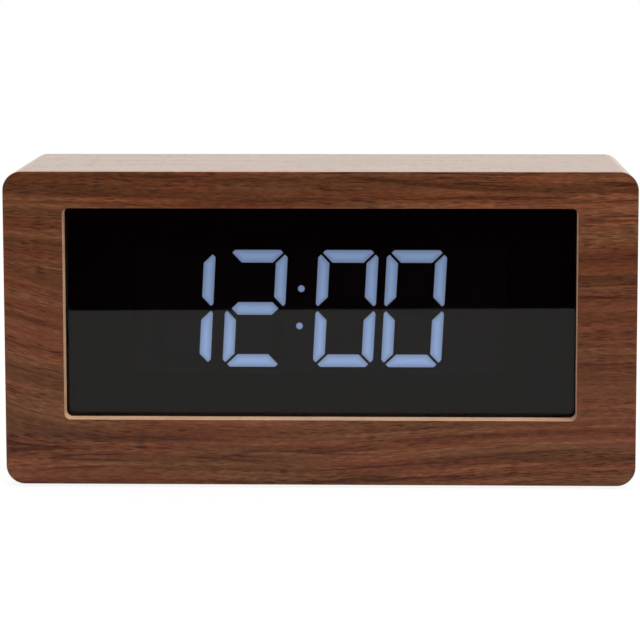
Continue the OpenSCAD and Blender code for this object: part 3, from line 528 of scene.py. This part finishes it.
# %% Sleeve sheet
flat_x = (sleeve_high.x - sleeve_low.x) / 2 - CORNER
flat_z = (sleeve_high.z - sleeve_low.z) / 2 - CORNER
sleeve_middle = (sleeve_low.z + sleeve_high.z) / 2
SHEET_START = 0.37
ON_PLANE = 1e-7


def round_the_box(x, z):
    """Length along the sheet from the middle of the top, down one side to the middle of the bottom."""
    flat = Vector((min(x, flat_x), max(-flat_z, min(z, flat_z))))
    turn = atan2(x - flat.x, z - flat.y)
    level_part = flat.x if z > 0 else 2 * flat_x - flat.x
    return level_part + CORNER * turn + flat_z - flat.y


bm = bmesh.new()
outer = outline(bm, (sleeve_low.x, sleeve_low.z), (sleeve_high.x, sleeve_high.z), CORNER, sleeve_low.y)
inner = outline(bm, (sleeve_low.x + VENEER, sleeve_low.z + VENEER),
                (sleeve_high.x - VENEER, sleeve_high.z - VENEER), CORNER - VENEER, sleeve_low.y)
ring(bm, outer, inner, sleeve_high.y - sleeve_low.y)
everything = list(bm.verts) + list(bm.edges) + list(bm.faces)
bmesh.ops.bisect_plane(bm, geom=everything, dist=ON_PLANE, plane_co=(0, 0, 0), plane_no=(1, 0, 0))
grain = bm.loops.layers.uv.new("grain")
for face in bm.faces:
    side = 1 if face.calc_center_median().x > 0 else -1
    for corner in face.loops:
        place = corner.vert.co
        length = round_the_box(max(side * place.x, 0), place.z - sleeve_middle)
        corner[grain].uv = (side * length, place.y + SHEET_START)
piece("sleeve_sheet", bm, "case", walnut, "walnut_veneer", "case_veneer")

# %% [markdown]
# ## The digits
# Every digit is seven bars of milky plastic in a black block, and small lamps shine into each bar from
# behind. A lit bar is brightest along its middle and fades to its outline, round the mitred tips as well.
# So the fade is modelled with the bar: its front is inset almost to the middle, and the corners of the
# inner face carry a higher glow. A bar starts as a plain strip, gets its mitres by slanting cuts, then
# the inset, and then the small cuts that blunt its tips. The time is twelve o'clock.

# %% Bar finish
light_bar = Finish("light_bar")
glow_share = light_bar.node("Attribute", {"attribute_name": "glow"}, output="Fac")
lit = light_bar.node("Attribute", {"attribute_name": "lit"}, output="Fac")
height = light_bar.node("SeparateXYZ", {}, {0: light_bar.node("TexCoord", output="Object")}, output="Z")
digits_low, digits_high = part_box("minutes_units_bars")
lower = light_bar.step(height, digits_high.z, digits_low.z)
mottle = light_bar.noise(light_bar.node("TexCoord", output="Object"), scale=900.0)
bar_colour = light_bar.blend(glow_share ** 0.7, (0.27, 0.345, 0.53, 1), (0.425, 0.615, 1.0, 1))
bright = (0.74 + lower * 0.22 + mottle * 0.04) * lit
shine = light_bar.node("VectorMath", {"operation": "SCALE"}, {0: bar_colour, "Scale": bright})
light_bar.surface({
    "Base Color": light_bar.ramp(mottle, [
        (0.3, (0.010, 0.010, 0.011, 1)), (0.7, (0.014, 0.014, 0.015, 1))]),
    "Roughness": 0.45,
    "Emission Color": shine,
    "Emission Strength": 3.2,
})
print("light bar:", len(light_bar.tree.nodes), "nodes")

# %% One bar
GLOW_WIDTH = 1.8 * MM


def cut(bm, x, z, distance):
    """Cuts away what lies past a slanting line, where x and z are the signs of its slope."""
    everything = bm.verts[:] + bm.edges[:] + bm.faces[:]
    normal = Vector((x, 0, z)).normalized()
    bmesh.ops.bisect_plane(
        bm, geom=everything, dist=ON_PLANE, plane_co=normal * distance / 2**0.5, plane_no=normal,
        clear_outer=True)


def bar(low, high, mitres, blunt_tips):
    """The glowing front of one bar, flat, round the middle of its digit."""
    bm = bmesh.new()
    glow_layer = bm.verts.layers.float.new("glow")
    bm.verts.layers.float.new("lit")
    middle = Vector(((low[0] + high[0]) / 2, 0, (low[1] + high[1]) / 2))
    place = (
        Matrix.Translation(middle)
        @ Matrix.Rotation(pi / 2, 4, "X")
        @ Matrix.Diagonal((high[0] - low[0], high[1] - low[1], 1, 1))
    )
    bmesh.ops.create_grid(bm, x_segments=1, y_segments=1, size=0.5, matrix=place)
    for line in mitres:
        cut(bm, *line)
    (face,) = bm.faces
    bmesh.ops.inset_individual(bm, faces=[face], thickness=GLOW_WIDTH, use_even_offset=True)
    for v in face.verts:
        v[glow_layer] = 1.0
    for line in blunt_tips:
        cut(bm, *line)
    mesh = bpy.data.meshes.new("bar")
    bm.to_mesh(mesh)
    bm.free()
    return mesh


print("the glow fades over", GLOW_WIDTH / MM, "mm")

# %% The bars of a digit
HALF_W, HALF_H = 9.6 * MM, 18.85 * MM
BAR, POST, MITRE = 4.1 * MM, 3.7 * MM, 0.75 * MM / 2**0.5
CORNER_CUT, WAIST_CUT, WAIST_GAP = 2.4 * MM, 1.5 * MM, 2.1 * MM
corner = HALF_W + HALF_H - CORNER_CUT
top_bar = bar((-HALF_W, HALF_H - BAR), (HALF_W, HALF_H), [
    (1, -1, HALF_W - HALF_H - MITRE), (-1, -1, HALF_W - HALF_H - MITRE)], [(1, 1, corner), (-1, 1, corner)])
post = bar((HALF_W - POST, 0), (HALF_W, HALF_H), [
    (-1, 1, HALF_H - HALF_W - MITRE), (-1, -1, -HALF_W)], [(1, 1, corner), (1, -1, HALF_W - WAIST_CUT)])
tip = HALF_W - WAIST_GAP
middle_bar = bar((-tip, -BAR / 2), (tip, BAR / 2), [
    (1, 1, tip), (1, -1, tip), (-1, 1, tip), (-1, -1, tip)], [])
BARS = {
    "a": (top_bar, 1, 1), "b": (post, 1, 1), "c": (post, 1, -1), "d": (top_bar, 1, -1),
    "e": (post, -1, -1), "f": (post, -1, 1), "g": (middle_bar, 1, 1),
}
print("a digit has", len(BARS), "bars, turned over from three shapes")

# %% The four digits
LEAN = tan(radians(3))
LIT = {"1": "bc", "2": "abged", "0": "abcdef"}


def digit(node, shape):
    """The seven bars of one digit, where the node has them."""
    low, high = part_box(node)
    middle = (low + high) / 2
    lean = Matrix.Identity(4)
    lean[0][2] = LEAN
    bm = bmesh.new()
    for name, (mesh, right, up) in BARS.items():
        ready = len(bm.verts)
        bm.from_mesh(mesh)
        bm.verts.ensure_lookup_table()
        added = bm.verts[ready:]
        lit_layer = bm.verts.layers.float["lit"]
        for v in added:
            v[lit_layer] = float(name in LIT[shape])
        place = Matrix.Translation((middle.x, low.y, middle.z)) @ lean @ Matrix.Diagonal((right, 1, up, 1))
        bmesh.ops.transform(bm, matrix=place, verts=added)
    push_back(bm, high.y - low.y)
    piece(node.replace("_bars", "_light"), bm, "case", light_bar, "light_bar", node)


digit("hours_tens_bars", "1")
digit("hours_units_bars", "2")
digit("minutes_tens_bars", "0")
digit("minutes_units_bars", "0")

# %% Colon
DOT = 1.1 * MM
DOT_GLOW_WIDTH, DOT_GLOW = 0.8 * DOT, 0.5
dots_low, dots_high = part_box("colon_dots")
bm = bmesh.new()
glow_layer = bm.verts.layers.float.new("glow")
lit_layer = bm.verts.layers.float.new("lit")
for x, z in ((dots_low.x + DOT, dots_low.z + DOT), (dots_high.x - DOT, dots_high.z - DOT)):
    place = Matrix.Translation((x, dots_low.y, z)) @ Matrix.Rotation(pi / 2, 4, "X")
    rim = bmesh.ops.create_circle(bm, cap_ends=True, radius=DOT, segments=40, matrix=place)["verts"]
    (face,) = rim[0].link_faces
    bmesh.ops.inset_individual(bm, faces=[face], thickness=DOT_GLOW_WIDTH, use_even_offset=True)
    for v in face.verts:
        v[glow_layer] = DOT_GLOW
for v in bm.verts:
    v[lit_layer] = 1.0
push_back(bm, dots_high.y - dots_low.y)
piece("colon_light", bm, "case", light_bar, "light_bar", "colon_dots")

# %% [markdown]
# ## Smoked window
# The window is polished smoked acrylic. It lets about a fifth of the light through, which hides the black
# display block and leaves the lit bars, and its face is a clean, slightly warm mirror. Clear plastic with a
# grey tint does both at once; a black surface with painted digits would look flat from the side. A trace of
# wiping marks in the roughness keeps the mirror from being perfect.

# %% Window finish
smoked = Finish("smoked_lens")
wiped = smoked.noise(smoked.node("Mapping", {}, {
    "Vector": smoked.node("TexCoord", output="Object"), "Scale": (30.0, 1.0, 160.0)}), detail=3.0)
smoked.surface({
    "Base Color": smoked.ramp(wiped, [(0.3, (0.19, 0.19, 0.195, 1)), (0.7, (0.20, 0.20, 0.205, 1))]),
    "Roughness": 0.008 + wiped * 0.012,
    "Transmission Weight": 1.0,
    "IOR": 1.293,
    "Specular Tint": (1.0, 0.97, 0.925, 1.0),
})
print("smoked lens:", len(smoked.tree.nodes), "nodes")

# %% Window pane
PANE_CORNER, PANE_ROOM = 3 * MM, 0.05 * MM
bm = bmesh.new()
rim = outline(bm, (lens_low.x, lens_low.z), (lens_high.x, lens_high.z), PANE_CORNER, lens_low.y)
bmesh.ops.edgeloop_fill(bm, edges=rim)
push_back(bm, lens_high.y - lens_low.y - PANE_ROOM)
piece("window_pane", bm, "case", smoked, "smoked_lens", "display_lens")

# %% [markdown]
# ## Board, rubber, plastic and metal
# The rest of the clock is made of a few plain materials. Fibreboard shows as the raw tan edge in the
# window and round the back: felted fibres with dark specks. Moulded plastic has a fine spark texture from
# its tool, metal is drawn or plated, and the circuit boards have copper tracks under a green mask. Each is
# a small function of noise in the object's own coordinates, at the scale of the real thing. Two moulded
# pieces are seen only through the window, where their texture would be too fine to show, so they have none.

# %% Fibreboard and glue blocks
def place_of(finish, stretch=(1.0, 1.0, 1.0)):
    """The place on the object in metres, squeezed or stretched along the axes."""
    place = finish.node("TexCoord", output="Object")
    return finish.node("Mapping", {}, {"Vector": place, "Scale": stretch})


board = Finish("fibreboard")
felt = board.noise(place_of(board), detail=4.0, roughness=0.7, scale=1400.0)
cloud = board.noise(place_of(board), detail=2.0, scale=120.0)
specks = board.step(board.noise(place_of(board), detail=1.0, scale=2600.0), 0.62, 0.72)
tan_edge = board.ramp(felt * 0.7 + cloud * 0.3, [
    (0.32, srgb(167, 126, 96)), (0.5, srgb(196, 156, 124)), (0.68, srgb(214, 178, 147))])
board.surface({
    "Base Color": board.blend(specks * 0.5, tan_edge, srgb(112, 80, 56)),
    "Roughness": 0.75 + felt * 0.2,
    "Normal": board.bump(felt, 0.00008),
})

blocks = Finish("block_wood")
fibres = blocks.noise(place_of(blocks, (900.0, 60.0, 900.0)), detail=3.0)
blocks.surface({
    "Base Color": blocks.ramp(fibres, [(0.3, srgb(176, 136, 92)), (0.7, srgb(214, 178, 130))]),
    "Roughness": 0.6 + fibres * 0.2,
    "Normal": blocks.bump(fibres, 0.0001),
})
print("board and blocks")

# %% Moulded pieces
def moulded(name, colour, roughness, texture=0.00003, scale=2600.0):
    """Plastic or rubber, slightly cloudy, with the texture of its mould unless texture is 0."""
    finish = Finish(name)
    sparks = finish.noise(place_of(finish), detail=2.0, roughness=0.6, scale=scale)
    clouds = finish.noise(place_of(finish), detail=1.0, scale=35.0)
    dark = tuple(0.82 * c for c in colour) + (1.0,)
    light = tuple(1.18 * c for c in colour) + (1.0,)
    sockets = {
        "Base Color": finish.ramp(sparks * 0.5 + clouds * 0.5, [(0.35, dark), (0.65, light)]),
        "Roughness": roughness - 0.08 + sparks * 0.16,
    }
    if texture:
        sockets["Normal"] = finish.bump(sparks, texture)
    finish.surface(sockets)
    return finish


def metal(name, colour, roughness, grain=(400.0, 4000.0, 400.0)):
    """Plated or drawn metal with fine lines along the drawing."""
    finish = Finish(name)
    lines = finish.noise(place_of(finish, grain), detail=2.0)
    finish.surface({
        "Base Color": finish.ramp(lines, [
            (0.3, tuple(0.85 * c for c in colour) + (1.0,)), (0.7, tuple(colour) + (1.0,))]),
        "Metallic": 1.0,
        "Roughness": roughness - 0.06 + lines * 0.12,
    })
    return finish


finishes = {
    "fibreboard": board,
    "walnut_veneer": walnut,
    "block_wood": blocks,
    "smoked_lens": smoked,
    "light_bar": light_bar,
    "foot_rubber": moulded("foot_rubber", (0.020, 0.020, 0.020), 0.85, 0.00008, 1500.0),
    "black_tape": moulded("black_tape", (0.004, 0.004, 0.004), 0.8, 0.00006, 1800.0),
    "carrier_plastic": moulded("carrier_plastic", (0.003, 0.003, 0.003), 0.7, 0, 300.0),
    "housing_plastic": moulded("housing_plastic", (0.054, 0.036, 0.042), 0.6, 0, 300.0),
    "cover_plastic": moulded("cover_plastic", (0.022, 0.022, 0.023), 0.52, 0.00005, 2200.0),
    "button_plastic": moulded("button_plastic", (0.055, 0.055, 0.057), 0.42, 0.00002),
    "stem_plastic": moulded("stem_plastic", (0.045, 0.045, 0.045), 0.5),
    "chip_resin": moulded("chip_resin", (0.018, 0.018, 0.019), 0.6),
    "header_plastic": moulded("header_plastic", (0.72, 0.68, 0.58), 0.45),
    "led_chip": moulded("led_chip", (0.80, 0.74, 0.42), 0.4),
    "capacitor_sleeve": moulded("capacitor_sleeve", (0.025, 0.035, 0.10), 0.3, 0.00001),
    "screw_steel": metal("screw_steel", (0.62, 0.62, 0.63), 0.32),
    "screw_black": metal("screw_black", (0.055, 0.055, 0.058), 0.42),
    "can_metal": metal("can_metal", (0.66, 0.66, 0.67), 0.28),
    "contact_metal": metal("contact_metal", (0.83, 0.68, 0.36), 0.26),
}
print(len(finishes), "finishes so far")

# %% Circuit boards and ribbon cable
mask_green = Finish("circuit_board")
maze = mask_green.node("TexVoronoi", {"feature": "DISTANCE_TO_EDGE"}, {
    "Vector": place_of(mask_green), "Scale": 190.0, "Randomness": 0.35})
tracks = 1 - mask_green.step(maze, 0.05, 0.09)
mask_green.surface({
    "Base Color": mask_green.blend(tracks, (0.012, 0.075, 0.030, 1), (0.035, 0.16, 0.065, 1)),
    "Roughness": 0.28 + tracks * 0.08,
    "Normal": mask_green.bump(tracks, 0.00004),
})
finishes["circuit_board"] = mask_green

RIBBON_WIRE = 1.27 * MM
ribbon = Finish("cable_plastic")
side = ribbon.node("SeparateXYZ", {}, {0: ribbon.node("TexCoord", output="Object")})
wires = side.math("PINGPONG", side, RIBBON_WIRE / 2) * (2 / RIBBON_WIRE)
ribbon_low, ribbon_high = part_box("ribbon_cable")
first_wire = 1 - ribbon.step(side, ribbon_low.x + 0.8 * RIBBON_WIRE, ribbon_low.x + RIBBON_WIRE)
ribbon.surface({
    "Base Color": ribbon.blend(first_wire, ribbon.ramp(wires, [
        (0.0, (0.30, 0.30, 0.31, 1)), (0.5, (0.48, 0.48, 0.49, 1))]), (0.42, 0.03, 0.03, 1)),
    "Roughness": 0.4 + wires * 0.1,
    "Normal": ribbon.bump(wires, 0.0003),
})
finishes["cable_plastic"] = ribbon
print("circuit boards and a ribbon of", RIBBON_WIRE / MM, "mm wires")

# %% Give every node its finish
for part in frame["record"]["subparts"]:
    slots = nodes[part["node"]].data.materials
    slots.clear()
    slots.append(finishes[part["material_slot"]].material)

# %% [markdown]
# ## Signs on the buttons
# Fingers read the back of a clock, so the four buttons carry raised signs: a dial for setting the time, a
# bell for the alarm, plus and minus. A sign stands a little over a tenth of a millimetre proud of its
# button. Each is drawn flat first: strokes are a small square whose sides are drawn out, the dial's rim is
# a disc with an inset taken away, and the bell is half a disc with its hem drawn down. Then the drawing is
# laid on its button and raised, and it moves with the button. Print would be simpler, but print wears off.

# %% Strokes, rim and bell
STROKE = 0.6 * MM
ROUND = 40


def grown(made):
    """The new corners of an extrusion."""
    return [item for item in made["geom"] if isinstance(item, bmesh.types.BMVert)]


def strokes(bm, width, arms):
    """A small square whose sides are drawn out, each by the length that arms gives for its direction."""
    bmesh.ops.create_grid(bm, x_segments=1, y_segments=1, size=width / 2)
    for edge in list(bm.edges):
        side = (edge.verts[0].co + edge.verts[1].co) / width
        length = arms.get((round(side.x), round(side.y)))
        if length:
            ends = grown(bmesh.ops.extrude_edge_only(bm, edges=[edge]))
            bmesh.ops.translate(bm, verts=ends, vec=side * length)


def rim_of_dial(bm, radius, width):
    """A flat ring."""
    verts = bmesh.ops.create_circle(bm, cap_ends=True, radius=radius, segments=ROUND)["verts"]
    (disc,) = verts[0].link_faces
    bmesh.ops.inset_individual(bm, faces=[disc], thickness=width, use_even_offset=True)
    bmesh.ops.delete(bm, geom=[disc], context="FACES_ONLY")


def bell(bm, radius, skirt, flare, clapper):
    """Half a disc, a skirt that flares out below it and a round clapper under that."""
    bmesh.ops.create_circle(bm, cap_ends=True, radius=radius, segments=ROUND)
    everything = bm.verts[:] + bm.edges[:] + bm.faces[:]
    bmesh.ops.bisect_plane(
        bm, geom=everything, dist=ON_PLANE, plane_co=(0, 0, 0), plane_no=(0, -1, 0), clear_outer=True)
    hem = [edge for edge in bm.edges if all(abs(v.co.y) < 1e-6 for v in edge.verts)]
    ends = grown(bmesh.ops.extrude_edge_only(bm, edges=hem))
    bmesh.ops.transform(
        bm, matrix=Matrix.Translation((0, -skirt, 0)) @ Matrix.Diagonal((flare, 1, 1, 1)), verts=ends)
    below = Matrix.Translation((0, -skirt - 1.5 * clapper, 0))
    bmesh.ops.create_circle(bm, cap_ends=True, radius=clapper, segments=ROUND, matrix=below)


print("strokes are", STROKE / MM, "mm wide")

# %% Signs
SIGN_HEIGHT, SIGN_SINK = 0.15 * MM, 0.05 * MM
sign_pale = moulded("sign_paint", (0.55, 0.55, 0.54), 0.5, 0.00001)


def sign(name, button, bm):
    """A flat drawing, laid on a button's face and raised."""
    low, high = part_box(button)
    middle = (low + high) / 2
    place = Matrix.Translation((middle.x, high.y - SIGN_SINK, middle.z)) @ Matrix.Rotation(pi / 2, 4, "X")
    bmesh.ops.transform(bm, matrix=place, verts=bm.verts)
    push_back(bm, SIGN_HEIGHT + SIGN_SINK)
    piece(name, bm, button, sign_pale, "button_plastic")


RIGHT, LEFT, UP, DOWN = (1, 0), (-1, 0), (0, 1), (0, -1)
ARM = 1.0 * MM
DIAL, DIAL_LINE = 1.6 * MM, 0.35 * MM
HOUR_HAND, MINUTE_HAND = 0.5 * MM, 0.75 * MM
bm = bmesh.new()
strokes(bm, STROKE, {RIGHT: ARM, LEFT: ARM, UP: ARM, DOWN: ARM})
sign("plus_sign", "plus_button", bm)

bm = bmesh.new()
strokes(bm, STROKE, {RIGHT: ARM, LEFT: ARM})
sign("minus_sign", "minus_button", bm)

bm = bmesh.new()
strokes(bm, DIAL_LINE, {LEFT: HOUR_HAND, UP: MINUTE_HAND})
rim_of_dial(bm, DIAL, DIAL_LINE)
sign("set_sign", "set_button", bm)

bm = bmesh.new()
bell(bm, radius=0.9 * MM, skirt=0.8 * MM, flare=1.45, clapper=0.28 * MM)
sign("alarm_sign", "alarm_button", bm)
